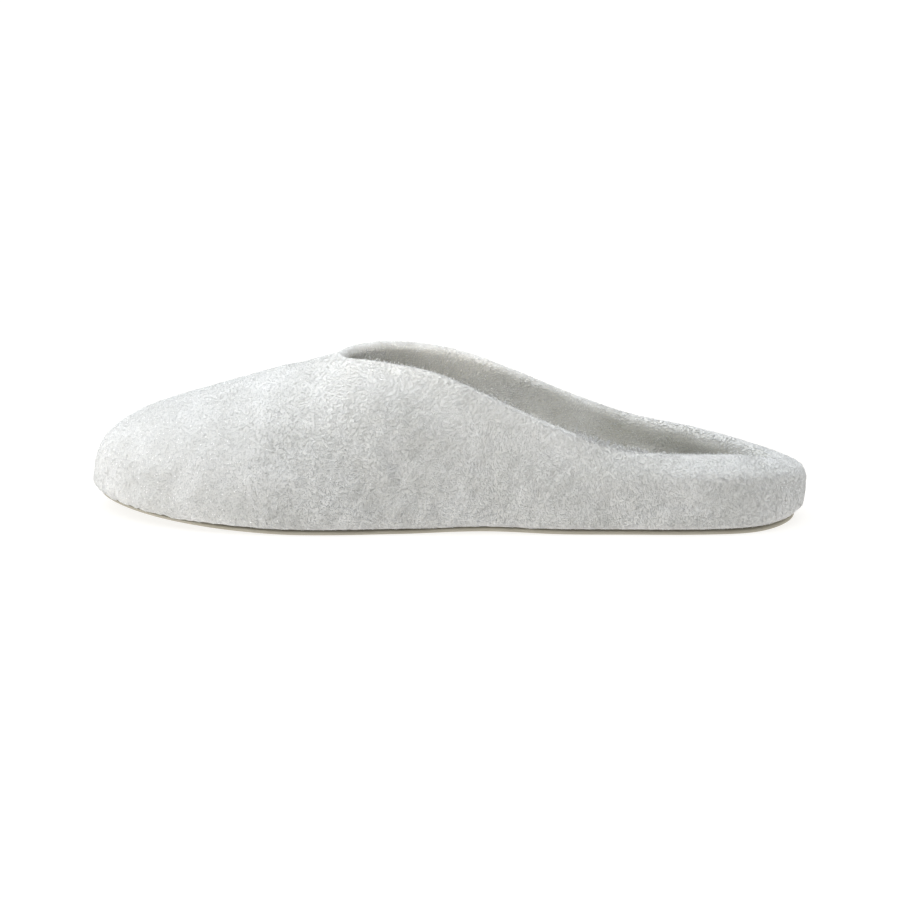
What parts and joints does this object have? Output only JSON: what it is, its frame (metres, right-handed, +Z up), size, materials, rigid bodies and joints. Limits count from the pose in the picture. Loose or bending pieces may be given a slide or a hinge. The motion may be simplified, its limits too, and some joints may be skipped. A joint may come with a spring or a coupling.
{
  "type": "closed toe slipper",
  "caption": "Backless terry house slipper with a closed rounded toe, an open collar, a low padded roll round the heel and a thin flat sole.",
  "frame": {"origin": "on the floor, under the middle of the slipper's length and width", "axes": "+Z up; -X along the slipper towards the toe, +X towards the heel; -Y towards the outer side of the foot"},
  "size_m": [0.265, 0.0951, 0.06],
  "materials": {
    "upper": "white cotton terry with loop pile",
    "insole": "white cotton terry with loop pile",
    "outsole": "matt, warm off-white"
  },
  "bodies": {
    "root": {"upper": "upper", "insole": "insole", "outsole": "outsole"}
  },
  "joints": []
}
